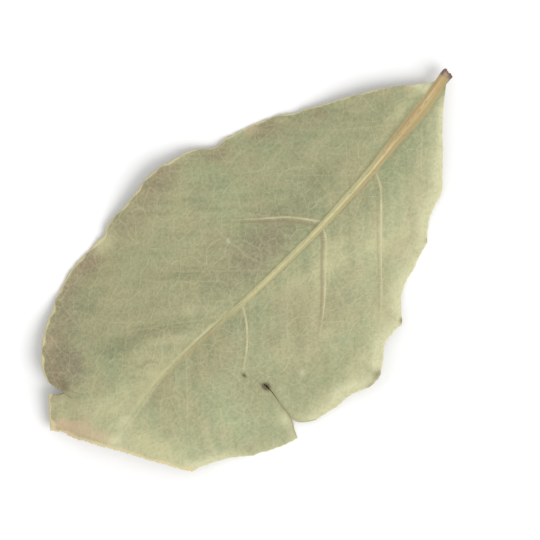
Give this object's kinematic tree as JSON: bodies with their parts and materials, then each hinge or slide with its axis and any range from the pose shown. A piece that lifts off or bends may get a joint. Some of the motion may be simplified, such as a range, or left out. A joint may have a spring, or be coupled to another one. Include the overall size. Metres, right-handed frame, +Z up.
{
  "type": "dried bay leaf",
  "caption": "Dried bay leaf lying flat: thin oval blade with a wavy edge, raised midrib and stub of a stalk, one side torn and the tip snapped off.",
  "frame": {"origin": "centre of the leaf's box in plan, at the surface that the leaf rests on", "axes": "+X along the midrib from the stalk to the tip, +Y across the blade, +Z up out of the leaf's upper face"},
  "size_m": [0.0662, 0.038, 0.004],
  "materials": {
    "leaf": "dry and matt, grey-green, with a tan midrib"
  },
  "bodies": {
    "root": {"bay_leaf": "leaf"}
  },
  "joints": []
}
